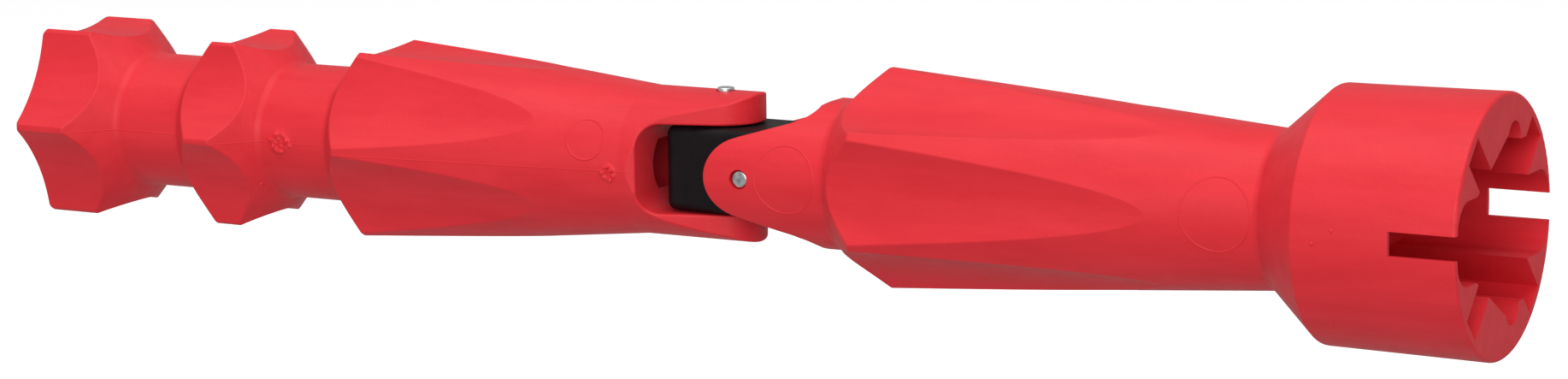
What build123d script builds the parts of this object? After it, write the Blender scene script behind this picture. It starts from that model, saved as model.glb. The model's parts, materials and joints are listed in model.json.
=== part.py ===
"""Basin wrench: a moulded handle half and a moulded socket half, joined by a black
universal-joint block and two crossed steel pins.

Frame: millimetres, +X along the tool from the grip end to the socket mouth, +Z up,
origin under the middle of the tool at the lowest point of the socket head.
Stations are X distances from the centre of the universal joint."""

from build123d import *
import math
import os

# Overall layout, as stations from the joint centre
grip_end = -143.5
mouth_end = 136.5
head_radius = 21.6
joint_x = -(grip_end + mouth_end) / 2

# Round bar and ears on both sides of the universal joint
bar_radius = 12.95
pin_station = 4.7
ear_tip_radius = 6.95
ear_tip = ear_tip_radius - pin_station
ear_flank_angle = 16.5
ear_flank_end = 14.2
ear_flare_end = 16.7
ear_base = 19.05
ear_foot_radius = 6.0
ear_shoulder_radius = 3.8
ear_end_margin = 1.0
slot_gap = 15.5
slot_root = 16.0
slot_corner_radius = 3.4
ear_edge_radius = 0.4

# Flutes: concave cylinders parallel to the axis
flute_count = 6
flute_floor_radius = 14.7
flute_overrun = 5.0
flute_edge_radius = 0.4
land_edge_length = 3.0

# Handle half
grip_radius = 19.25
grip_ridge_end = -132.9
neck_radius = 12.1
neck_1_start = -125.8
neck_1_end = -112.4
ring_start = -106.0
ring_end = -100.8
ring_radius = 19.0
neck_2_start = -94.4
neck_2_end = -80.1
handle_tip = -74.3
handle_tip_radius = 18.7
handle_bar_start = -19.1
neck_fillet = 1.6
ridge_fillet = 0.6
grip_end_fillet = 0.9
grip_core_radius = 8.0
grip_core_depth = 60.0
grip_core_chamfer = 0.8
joint_core_radius = 5.9
joint_core_depth = 45.0
handle_flute_radius = 21.9
handle_flute_start_angle = 0
grip_flute_floor_radius = 15.3
grip_flute_radius = 27.0

# Socket half
collar_end = 20.6
socket_tip = 27.4
socket_tip_radius = 18.9
socket_waist = 99.5
socket_waist_radius = 13.2
head_start = 108.7
head_start_radius = 21.25
collar_fillet = 2.0
waist_fillet = 1.5
rim_fillet = 0.6
socket_flute_end = 92.0
socket_flute_radius = 20.4
socket_flute_start_angle = 30

# Socket mouth
pocket_depth = 24.0
pocket_half_height = 6.8
pocket_reach = 20.6
pocket_corner_radius = 4.5
notch_width = 5.4
notch_reach = 20.1
notch_angles = (45, 135, 225, 315)
flank_slope = 30
lobe_offset = 4.1
lobe_height = 13.6
lobe_radius = 2.9
flank_height = 16.2
tooth_height = 13.2
tooth_corner = 9.4
tail_bore_radius = 10.2
tail_bore_depth = 86.0
near_slot_width = 3.9
near_slot_length = 11.3
far_slot_width = 4.5
far_slot_length = 10.5

# Universal-joint block and pins
block_width = 14.9
block_half_length = 12.75
block_edge_radius = 1.6
pin_radius = 1.5
pin_length = 26.0
pin_shift = 0.5
pin_edge_radius = 0.3
running_clearance = 0.05
recess_radius = 1.7
recess_depth = 1.2


def round_bar(stations, fillets):
    """Solid of revolution about X through (station, radius) points, some corners rounded."""
    first, last = stations[0][0], stations[-1][0]
    section = make_face(Polyline((first, 0), *stations, (last, 0), close=True))
    for station, radius in fillets.items():
        corners = [v for v in section.vertices() if abs(v.X - station) < 0.01 and v.Y > 1]
        section = fillet(corners, radius)
    return revolve(section, Axis.X)


def cut_flutes(bar, floor_radius, radius, first_angle, start, end):
    """Cuts the six concave flutes into a round bar between two stations."""
    rod = Cylinder(radius, end - start, rotation=(0, 90, 0))
    rod = Pos((start + end) / 2, 0, floor_radius + radius) * rod
    for index in range(flute_count):
        bar -= Rot(first_angle + index * 360 / flute_count, 0, 0) * rod
    return bar


def round_flute_edges(bar):
    """Rounds the edges between the flutes and the lands."""
    edges = [
        edge
        for edge in bar.edges()
        if edge.geom_type == GeomType.BSPLINE
        or (edge.geom_type == GeomType.LINE and edge.length > land_edge_length)
    ]
    return fillet(edges, flute_edge_radius)


def axial_bore(radius, start, end):
    """A cylinder on the tool's axis between two stations, to be cut away."""
    return Pos((start + end) / 2, 0, 0) * Cylinder(radius, end - start, rotation=(0, 90, 0))


def ear_envelope(reach):
    """Prism along Z that holds the ears, tips towards +X, and all of the bar behind them.
    The tips are round about the pin."""
    angle = math.radians(ear_flank_angle)
    flank_x = ear_tip_radius * math.sin(angle) - pin_station
    flank_y = ear_tip_radius * math.cos(angle)
    foot_y = flank_y + math.tan(angle) * (flank_x + ear_flank_end)
    shoulder_y = bar_radius + 0.1
    wide = 2 * bar_radius
    arc = ThreePointArc((flank_x, flank_y), (ear_tip, 0), (flank_x, -flank_y))
    upper = [
        (-ear_flank_end, foot_y),
        (-ear_flare_end, shoulder_y),
        (-ear_base, shoulder_y),
        (-ear_base, wide),
        (-reach, wide),
    ]
    lower = [(x, -y) for x, y in reversed(upper)]
    edge = Polyline((flank_x, flank_y), *upper, *lower, (flank_x, -flank_y))
    outline = make_face(arc + edge)
    feet = [v for v in outline.vertices() if abs(v.X + ear_flank_end) < 0.01]
    outline = fillet(feet, ear_foot_radius)
    shoulders = [v for v in outline.vertices() if abs(v.X + ear_flare_end) < 0.01]
    outline = fillet(shoulders, ear_shoulder_radius)
    return extrude(outline, wide, both=True)


def clevis_slot():
    """The gap between the ears, open towards +X and through the bar along Y."""
    length = slot_root + ear_tip + bar_radius
    gap = Pos(length / 2 - slot_root, 0, 0) * Box(length, 4 * bar_radius, slot_gap)
    root_edges = gap.edges().filter_by(Axis.Y).sort_by(Axis.X)[:2]
    return fillet(root_edges, slot_corner_radius)


def pin_hole():
    """The pin's hole through both ears, with a shallow recess round each end of the pin."""
    hole = Cylinder(pin_radius, 4 * bar_radius)
    lift = bar_radius - recess_depth + bar_radius / 2
    recess = Cylinder(recess_radius, bar_radius)
    cutter = hole + Pos(0, 0, lift) * recess + Pos(0, 0, -lift) * recess
    return Pos(-pin_station, 0, 0) * cutter


def clevis_tools(reach):
    """The ears' envelope, the gap and the pin hole: tips towards +X, pin along Z."""
    return [ear_envelope(reach), clevis_slot(), pin_hole()]


def across(shape):
    """Turns a clevis tool to the joint's other side: tips towards -X, pin along Y."""
    return Rot(90, 0, 0) * mirror(shape, Plane.YZ)


def cut_clevis(bar, envelope, gap, hole):
    """Shapes the ears, the gap and the pin hole at the joint end of a bar."""
    bar = bar & envelope
    ear_edges = [edge for edge in bar.edges() if abs(edge.center().X) < ear_base]
    bar = fillet(ear_edges, ear_edge_radius)
    gap_edges = new_edges(bar, gap, combined=bar - gap)
    bar = fillet(gap_edges, ear_edge_radius)
    return bar - hole


def handle_half():
    stations = [
        (grip_end, grip_radius),
        (grip_ridge_end, grip_radius),
        (neck_1_start, neck_radius),
        (neck_1_end, neck_radius),
        (ring_start, ring_radius),
        (ring_end, ring_radius),
        (neck_2_start, neck_radius),
        (neck_2_end, neck_radius),
        (handle_tip, handle_tip_radius),
        (handle_bar_start, bar_radius),
        (ear_tip + ear_end_margin, bar_radius),
    ]
    fillets = {grip_end: grip_end_fillet}
    fillets |= {s: ridge_fillet for s in (grip_ridge_end, ring_start, ring_end, handle_tip)}
    fillets |= {s: neck_fillet for s in (neck_1_start, neck_1_end, neck_2_start, neck_2_end)}
    bar = round_bar(stations, fillets)
    angle = handle_flute_start_angle
    neck_middle = (neck_1_start + neck_1_end) / 2
    flute_start = grip_end - flute_overrun
    bar = cut_flutes(bar, grip_flute_floor_radius, grip_flute_radius, angle, flute_start, neck_middle)
    bar = cut_flutes(bar, flute_floor_radius, handle_flute_radius, angle, neck_middle, handle_bar_start)
    bar = round_flute_edges(bar)
    bar -= axial_bore(grip_core_radius, grip_end, grip_end + grip_core_depth)
    core_rim = bar.edges().filter_by(GeomType.CIRCLE).sort_by(Axis.X)
    core_rim = [edge for edge in core_rim if abs(edge.radius - grip_core_radius) < 0.01][:1]
    bar = chamfer(core_rim, grip_core_chamfer)
    bar = cut_clevis(bar, *clevis_tools(flute_overrun - grip_end))
    return bar - axial_bore(joint_core_radius, -slot_root - joint_core_depth, -slot_root)


def corner_pocket():
    """The pocket for a nut's corner, drawn in Y and Z above the centre: a slope that rises
    to a round lobe, which stands off centre, then a step down beside the next notch."""
    run = (flank_height - notch_width) / math.tan(math.radians(flank_slope))
    slope = make_face(
        Polyline(
            (lobe_offset - run, notch_width),
            (lobe_offset, flank_height),
            (lobe_offset, tooth_height),
            (tooth_corner, tooth_height),
            (notch_width, notch_width),
            close=True,
        )
    )
    return slope + Pos(lobe_offset, lobe_height) * Circle(lobe_radius)


def mouth_outline():
    """Pocket shape, drawn in Y and Z: a bar-shaped pocket, four diagonal notches and the
    pockets above and below for the corners of a nut."""
    outline = RectangleRounded(2 * pocket_reach, 2 * pocket_half_height, pocket_corner_radius)
    notch = Pos(notch_reach / 2, 0) * Rectangle(notch_reach, notch_width)
    for angle in notch_angles:
        outline += Rot(0, 0, angle) * notch
    corner = corner_pocket()
    outline += corner
    outline += mirror(corner, Plane.XZ)
    return outline


def wall_slot(length, width, side):
    """A slot through the head's wall, open at the mouth; side is -1 or 1 along Y."""
    slot = Box(length, head_radius, width)
    return Pos(mouth_end - length / 2, side * (head_radius / 2 + tail_bore_radius), 0) * slot


def socket_half():
    stations = [
        (-ear_tip - ear_end_margin, bar_radius),
        (collar_end, bar_radius),
        (socket_tip, socket_tip_radius),
        (socket_waist, socket_waist_radius),
        (head_start, head_start_radius),
        (mouth_end, head_radius),
    ]
    fillets = {
        collar_end: collar_fillet,
        socket_tip: ridge_fillet,
        socket_waist: waist_fillet,
        head_start: ridge_fillet,
        mouth_end: rim_fillet,
    }
    bar = round_bar(stations, fillets)
    angle = socket_flute_start_angle
    bar = cut_flutes(bar, flute_floor_radius, socket_flute_radius, angle, -ear_tip, socket_flute_end)
    bar = round_flute_edges(bar)
    mouth_plane = Plane.YZ.offset(mouth_end)
    bar -= extrude(mouth_plane * mouth_outline(), -pocket_depth)
    bar -= axial_bore(tail_bore_radius, mouth_end - tail_bore_depth, mouth_end)
    bar -= wall_slot(near_slot_length, near_slot_width, -1)
    bar -= wall_slot(far_slot_length, far_slot_width, 1)
    tools = [across(tool) for tool in clevis_tools(mouth_end + flute_overrun)]
    return cut_clevis(bar, *tools)


def pin():
    """A steel pin along Z with rounded ends, set a little towards +Z."""
    rod = Cylinder(pin_radius, pin_length)
    return Pos(0, 0, pin_shift) * fillet(rod.edges().filter_by(GeomType.CIRCLE), pin_edge_radius)


def joint_block():
    block = Box(2 * block_half_length, block_width, block_width)
    block = fillet(block.edges(), block_edge_radius)
    hole = Cylinder(pin_radius + running_clearance, 2 * block_width)
    block -= Pos(-pin_station, 0, 0) * hole
    return block - Pos(pin_station, 0, 0) * Rot(90, 0, 0) * hole


def place(shape):
    """Moves a shape from the joint's centre into the part's own frame."""
    return Pos(joint_x, 0, head_radius) * shape


nodes = {
    "handle_half": handle_half(),
    "socket_half": socket_half(),
    "joint_block": joint_block(),
    "handle_pin": Pos(-pin_station, 0, 0) * pin(),
    "socket_pin": Pos(pin_station, 0, 0) * Rot(-90, 0, 0) * pin(),
}

os.makedirs("parts", exist_ok=True)
for name, shape in nodes.items():
    export_step(place(shape), f"parts/{name}.step")
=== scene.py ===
"""Looks for the basin wrench: materials, moulding marks, studio and camera."""

import bpy
import json
import math
import random
from mathutils import Matrix, Vector
from mathutils.bvhtree import BVHTree


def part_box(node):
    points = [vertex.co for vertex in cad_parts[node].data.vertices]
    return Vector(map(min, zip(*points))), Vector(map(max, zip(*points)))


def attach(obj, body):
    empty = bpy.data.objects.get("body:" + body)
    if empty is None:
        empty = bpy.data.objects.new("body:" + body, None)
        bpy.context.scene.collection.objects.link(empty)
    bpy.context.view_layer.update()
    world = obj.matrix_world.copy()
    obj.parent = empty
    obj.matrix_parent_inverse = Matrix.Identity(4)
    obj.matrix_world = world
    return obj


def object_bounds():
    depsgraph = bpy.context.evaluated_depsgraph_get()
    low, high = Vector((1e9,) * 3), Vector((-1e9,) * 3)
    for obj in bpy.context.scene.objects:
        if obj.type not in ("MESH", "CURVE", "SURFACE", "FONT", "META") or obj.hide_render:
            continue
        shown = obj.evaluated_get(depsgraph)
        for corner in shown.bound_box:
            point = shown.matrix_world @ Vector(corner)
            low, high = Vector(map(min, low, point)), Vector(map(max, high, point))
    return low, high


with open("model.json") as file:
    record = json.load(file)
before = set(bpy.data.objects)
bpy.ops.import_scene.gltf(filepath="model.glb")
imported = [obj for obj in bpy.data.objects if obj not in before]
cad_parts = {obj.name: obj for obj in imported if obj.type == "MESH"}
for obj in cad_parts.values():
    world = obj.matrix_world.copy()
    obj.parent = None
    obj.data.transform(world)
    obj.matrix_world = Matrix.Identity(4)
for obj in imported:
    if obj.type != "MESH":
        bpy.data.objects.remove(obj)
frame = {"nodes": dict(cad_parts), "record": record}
cad_low, cad_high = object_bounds()

MM = 0.001


# ---------------------------------------------------------------- materials

def new_material(name):
    material = bpy.data.materials.new(name)
    material.use_nodes = True
    return material, material.node_tree.nodes, material.node_tree.links


def noise(nodes, links, coordinates, scale, detail, roughness=0.55):
    node = nodes.new("ShaderNodeTexNoise")
    node.inputs["Scale"].default_value = scale
    node.inputs["Detail"].default_value = detail
    node.inputs["Roughness"].default_value = roughness
    links.new(coordinates, node.inputs["Vector"])
    return node.outputs["Fac"]


def ramp(nodes, links, value, stops):
    node = nodes.new("ShaderNodeValToRGB")
    for index, (position, colour) in enumerate(stops):
        if index < 2:
            element = node.color_ramp.elements[index]
            element.position = position
        else:
            element = node.color_ramp.elements.new(position)
        element.color = (*colour, 1.0)
    links.new(value, node.inputs["Fac"])
    return node.outputs["Color"]


def to_range(nodes, links, value, low, high):
    node = nodes.new("ShaderNodeMapRange")
    node.inputs["To Min"].default_value = low
    node.inputs["To Max"].default_value = high
    links.new(value, node.inputs["Value"])
    return node.outputs["Result"]


def bump(nodes, links, height, strength, distance, normal=None):
    node = nodes.new("ShaderNodeBump")
    node.inputs["Strength"].default_value = strength
    node.inputs["Distance"].default_value = distance
    links.new(height, node.inputs["Height"])
    if normal is not None:
        links.new(normal, node.inputs["Normal"])
    return node.outputs["Normal"]


def stretched(nodes, links, coordinates, stretch):
    """Coordinates squeezed along X, so that a noise read through them runs in streaks."""
    node = nodes.new("ShaderNodeMapping")
    node.inputs["Scale"].default_value = (1.0 / stretch, 1.0, 1.0)
    links.new(coordinates, node.inputs["Vector"])
    return node.outputs["Vector"]


def red_plastic():
    """Satin nylon: faint flow streaks along the tool over a fine spark-eroded grain."""
    dark_red, light_red = (0.70, 0.020, 0.031), (0.79, 0.030, 0.043)
    material, nodes, links = new_material("red_plastic")
    shader = nodes["Principled BSDF"]
    place = nodes.new("ShaderNodeTexCoord").outputs["Object"]
    flow = noise(nodes, links, stretched(nodes, links, place, 5.0), 220.0, 5.0, 0.6)
    colour = ramp(nodes, links, flow, [(0.28, dark_red), (0.72, light_red)])
    links.new(colour, shader.inputs["Base Color"])
    gloss = noise(nodes, links, place, 420.0, 5.0)
    links.new(to_range(nodes, links, gloss, 0.38, 0.56), shader.inputs["Roughness"])
    grain = noise(nodes, links, place, 2200.0, 3.0)
    grained = bump(nodes, links, grain, 0.55, 0.00006)
    links.new(bump(nodes, links, flow, 0.25, 0.00006, grained), shader.inputs["Normal"])
    shader.inputs["Specular IOR Level"].default_value = 0.28
    return material


def black_plastic():
    """Near black, with a finer and shallower grain than the red plastic and no streaks."""
    dark_black, light_black = (0.0035, 0.0022, 0.003), (0.0075, 0.005, 0.006)
    material, nodes, links = new_material("black_plastic")
    shader = nodes["Principled BSDF"]
    place = nodes.new("ShaderNodeTexCoord").outputs["Object"]
    tone = noise(nodes, links, place, 350.0, 4.0)
    colour = ramp(nodes, links, tone, [(0.3, dark_black), (0.7, light_black)])
    links.new(colour, shader.inputs["Base Color"])
    gloss = noise(nodes, links, place, 700.0, 4.0)
    links.new(to_range(nodes, links, gloss, 0.42, 0.62), shader.inputs["Roughness"])
    grain = noise(nodes, links, place, 3200.0, 2.0)
    links.new(bump(nodes, links, grain, 0.3, 0.00004), shader.inputs["Normal"])
    shader.inputs["Specular IOR Level"].default_value = 0.18
    return material


def steel():
    """Bright pin ends, mottled where they were peened."""
    dark_steel, light_steel = (0.42, 0.43, 0.44), (0.86, 0.87, 0.88)
    material, nodes, links = new_material("steel")
    shader = nodes["Principled BSDF"]
    place = nodes.new("ShaderNodeTexCoord").outputs["Object"]
    tone = noise(nodes, links, place, 1100.0, 4.0)
    colour = ramp(nodes, links, tone, [(0.32, dark_steel), (0.62, light_steel)])
    links.new(colour, shader.inputs["Base Color"])
    shader.inputs["Metallic"].default_value = 1.0
    links.new(to_range(nodes, links, tone, 0.18, 0.34), shader.inputs["Roughness"])
    links.new(bump(nodes, links, tone, 0.3, 0.00008), shader.inputs["Normal"])
    return material


def studio_floor():
    """A matt pale floor that glows a little, so that it renders white."""
    material, nodes, _ = new_material("floor")
    shader = nodes["Principled BSDF"]
    shader.inputs["Base Color"].default_value = (0.93, 0.93, 0.93, 1.0)
    shader.inputs["Roughness"].default_value = 0.9
    shader.inputs["Specular IOR Level"].default_value = 0.1
    shader.inputs["Emission Color"].default_value = (1.0, 1.0, 1.0, 1.0)
    shader.inputs["Emission Strength"].default_value = 0.5
    return material


finishes = {"red_plastic": red_plastic(), "black_plastic": black_plastic(), "steel": steel()}
slots = {part["node"]: part["material_slot"] for part in frame["record"]["subparts"]}
for node, part in frame["nodes"].items():
    for slot in part.material_slots:
        slot.material = finishes[slots[node]]


# ---------------------------------------------------------------- moulding marks

ray_height = 50  # in mm, like the stations
ridge_sides = 10

block_low, block_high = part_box("joint_block")
joint = (block_low + block_high) / 2


def surface_of(node):
    mesh = frame["nodes"][node].data
    corners = [vertex.co.copy() for vertex in mesh.vertices]
    faces = [tuple(face.vertices) for face in mesh.polygons]
    return BVHTree.FromPolygons(corners, faces)


surfaces = {node: surface_of(node) for node in ("handle_half", "socket_half")}
bodies = {"handle_half": "handle", "socket_half": "socket"}


class Spot:
    """A place on a moulding: a station from the joint in mm, and an angle round the tool
    in degrees, from the near side (-Y) towards the top. out, along and across are its
    directions."""

    def __init__(self, node, station, angle):
        turn = math.radians(angle)
        self.node = node
        self.out = Vector((0.0, -math.cos(turn), math.sin(turn)))
        self.along = Vector((1.0, 0.0, 0.0))
        self.across = Vector((0.0, math.sin(turn), math.cos(turn)))
        self.axis_point = joint + self.along * station * MM

    def on_surface(self, along, across):
        """The surface's point and normal at offsets from this place, in metres."""
        start = self.axis_point + self.along * along + self.across * across
        start += self.out * ray_height * MM
        point, normal, _, _ = surfaces[self.node].ray_cast(start, -self.out)
        return point, normal


def add_piece(name, node, corners, faces):
    mesh = bpy.data.meshes.new(name)
    mesh.from_pydata([tuple(corner) for corner in corners], [], faces)
    mesh.update()
    mesh.shade_smooth()
    mesh.materials.append(finishes["red_plastic"])
    piece = bpy.data.objects.new(name, mesh)
    bpy.context.scene.collection.objects.link(piece)
    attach(piece, bodies[node])


def tube_faces(stages, sides, closed):
    """Quads of a tube whose rings of corners follow each other."""
    last = stages if closed else stages - 1
    faces = []
    for stage in range(last):
        near, far = stage * sides, (stage + 1) % stages * sides
        for side in range(sides):
            other = (side + 1) % sides
            faces.append((near + side, near + other, far + other, far + side))
    if not closed:
        faces.append(tuple(reversed(range(sides))))
        faces.append(tuple(range((stages - 1) * sides, stages * sides)))
    return faces


def ridge_ring(point, normal, sideways, half_width, rise):
    """One section of a low rounded ridge, most of it sunk into the surface."""
    ring = []
    for side in range(ridge_sides):
        turn = 2 * math.pi * side / ridge_sides
        lift = half_width * math.cos(turn) + rise - half_width
        ring.append(point + normal * lift + sideways * half_width * math.sin(turn))
    return ring


def ejector_mark(name, spot, radius, half_width=0.24 * MM, rise=0.10 * MM, steps=96):
    """The faint round witness line that a core or an ejector pin leaves."""
    corners = []
    for step in range(steps):
        turn = 2 * math.pi * step / steps
        outward = spot.along * math.cos(turn) + spot.across * math.sin(turn)
        point, normal = spot.on_surface(radius * math.cos(turn), radius * math.sin(turn))
        corners += ridge_ring(point, normal, outward, half_width, rise)
    add_piece(name, spot.node, corners, tube_faces(steps, ridge_sides, closed=True))


def parting_line(name, node, angle, start, end, half_width=0.13 * MM, rise=0.06 * MM, step=0.5):
    """The fine raised line where the two halves of the mould met."""
    corners = []
    count = int((end - start) / step) + 1
    for index in range(count):
        spot = Spot(node, start + index * (end - start) / (count - 1), angle)
        point, _ = spot.on_surface(0.0, 0.0)
        corners += ridge_ring(point, spot.out, spot.across, half_width, rise)
    add_piece(name, node, corners, tube_faces(count, ridge_sides, closed=False))


def low_dome(name, spot, radius, height_at, rings, steps):
    """A closed cap on the surface; height_at(share of radius, turn) is its height in metres."""
    sunk_edge = -0.12 * MM
    point, normal = spot.on_surface(0.0, 0.0)
    corners = [point + normal * height_at(0.0, 0.0)]
    for ring in range(1, rings + 1):
        share = ring / rings
        for step in range(steps):
            turn = 2 * math.pi * step / steps
            reach = radius * share
            point, normal = spot.on_surface(reach * math.cos(turn), reach * math.sin(turn))
            height = sunk_edge if ring == rings else height_at(share, turn)
            corners.append(point + normal * height)
    faces = []
    for step in range(steps):
        other = (step + 1) % steps
        faces.append((0, 1 + other, 1 + step))
        for ring in range(rings - 1):
            near, far = 1 + ring * steps, 1 + (ring + 1) * steps
            faces.append((near + step, near + other, far + other, far + step))
    faces.append(tuple(1 + (rings - 1) * steps + step for step in reversed(range(steps))))
    add_piece(name, spot.node, corners, faces)


def gate_mark(name, spot, radius, seed):
    """The torn scar of a sprue gate: a broken rim round a hollow, with crumbs. Heights are in
    mm, and places and spreads are shares of the radius."""
    rim_height, rim_place, rim_spread = 0.50, 0.55, 0.16
    hollow_depth, hollow_spread = 0.08, 0.3
    crumb_count, crumb_height, crumb_spread = 9, 0.40, 0.09
    crumb_reach = (0.15, 0.8)
    full_turn = 2 * math.pi
    chance = random.Random(seed)
    crumbs = [(chance.uniform(*crumb_reach), chance.uniform(0, full_turn)) for _ in range(crumb_count)]
    wave = [chance.uniform(0, full_turn) for _ in range(2)]

    def height_at(share, turn):
        broken = 0.6 + 0.4 * math.sin(2 * turn + wave[0]) * math.sin(5 * turn + wave[1])
        rim = rim_height * broken * math.exp(-((share - rim_place) / rim_spread) ** 2)
        height = rim - hollow_depth * math.exp(-(share / hollow_spread) ** 2)
        x, y = share * math.cos(turn), share * math.sin(turn)
        for reach, angle in crumbs:
            gap = math.hypot(x - reach * math.cos(angle), y - reach * math.sin(angle))
            height += crumb_height * math.exp(-(gap / crumb_spread) ** 2)
        return height * MM

    low_dome(name, spot, radius, height_at, rings=22, steps=72)


def speck(name, spot, radius, rise=0.22 * MM):
    """A grain of plastic, caught as a small round dome."""

    def height_at(share, turn):
        return rise * (1 - share ** 2)

    low_dome(name, spot, radius, height_at, rings=5, steps=16)


ejector_mark("ejector_mark_ear", Spot("socket_half", 13.4, 2.2), 5.7 * MM)
ejector_mark("ejector_mark_socket", Spot("socket_half", 92.6, 3.5), 6.0 * MM)
ejector_mark("ejector_mark_handle", Spot("handle_half", -25.5, 21.0), 3.5 * MM)
gate_mark("gate_mark_handle", Spot("handle_half", -20.8, -2.9), 2.0 * MM, 4)
gate_mark("gate_mark_neck", Spot("handle_half", -89.8, -1.5), 2.9 * MM, 11)
speck_spots = [
    Spot("handle_half", -103.3, -27.4),
    Spot("handle_half", -95.4, -40.4),
    Spot("socket_half", 115.8, 3.5),
    Spot("socket_half", 112.5, -2.7),
    Spot("socket_half", 113.3, -45.8),
]
for number, spot in enumerate(speck_spots, 1):
    speck(f"moulding_speck_{number}", spot, 0.35 * MM)

parting_angle = -1.5
parting_start, parting_end = -142.5, -17.0
parting_line("parting_line_near", "handle_half", parting_angle, parting_start, parting_end)
parting_line("parting_line_far", "handle_half", parting_angle + 180, parting_start, parting_end)


# ---------------------------------------------------------------- studio

# The floor is low enough for the socket half to swing down fully without reaching it.
floor_size = 6.0
floor_drop = 0.12
bpy.ops.mesh.primitive_plane_add(size=floor_size, location=(0, 0, cad_low.z - floor_drop))
floor = bpy.context.object
floor.name = "floor"
floor.data.materials.append(studio_floor())
# The tool takes its light from the lamps and the world alone, not from the floor.
floor.visible_diffuse = False
floor.visible_glossy = False


def softbox(name, place, aim, width, height, power):
    light = bpy.data.lights.new(name, "AREA")
    light.shape = "RECTANGLE"
    light.size = width
    light.size_y = height
    light.energy = power
    lamp = bpy.data.objects.new(name, light)
    bpy.context.scene.collection.objects.link(lamp)
    lamp.location = place
    lamp.rotation_euler = (Vector(aim) - Vector(place)).to_track_quat("-Z", "Y").to_euler()


middle = (cad_low + cad_high) / 2
softbox("top_softbox", (0.1, -0.25, 1.1), middle, width=1.6, height=0.9, power=9.0)
softbox("front_fill", (0.5, -1.3, 0.35), middle, width=1.2, height=0.8, power=10.5)

world = bpy.data.worlds.new("studio")
world.use_nodes = True
background = world.node_tree.nodes["Background"]
background.inputs["Color"].default_value = (1.0, 1.0, 1.0, 1.0)
background.inputs["Strength"].default_value = 0.40
bpy.context.scene.world = world


# ---------------------------------------------------------------- camera

camera_azimuth = 28.92
camera_elevation = 9.90
camera_roll = -0.67
camera_distance = 0.80896
camera_target = Vector((0.00888, 0.00199, 0.01764))
focal_length = 108.06

azimuth = math.radians(camera_azimuth)
elevation = math.radians(camera_elevation)
forward = Vector((
    -math.sin(azimuth) * math.cos(elevation),
    math.cos(azimuth) * math.cos(elevation),
    -math.sin(elevation),
))
camera_data = bpy.data.cameras.new("camera")
camera_data.lens = focal_length
camera_data.sensor_width = 36.0
camera_data.clip_start = 0.01
camera = bpy.data.objects.new("camera", camera_data)
bpy.context.scene.collection.objects.link(camera)
camera.matrix_world = (
    Matrix.Translation(camera_target - camera_distance * forward)
    @ forward.to_track_quat("-Z", "Y").to_matrix().to_4x4()
    @ Matrix.Rotation(math.radians(camera_roll), 4, "Z")
)
bpy.context.scene.camera = camera
bpy.context.scene.view_settings.view_transform = "Standard"
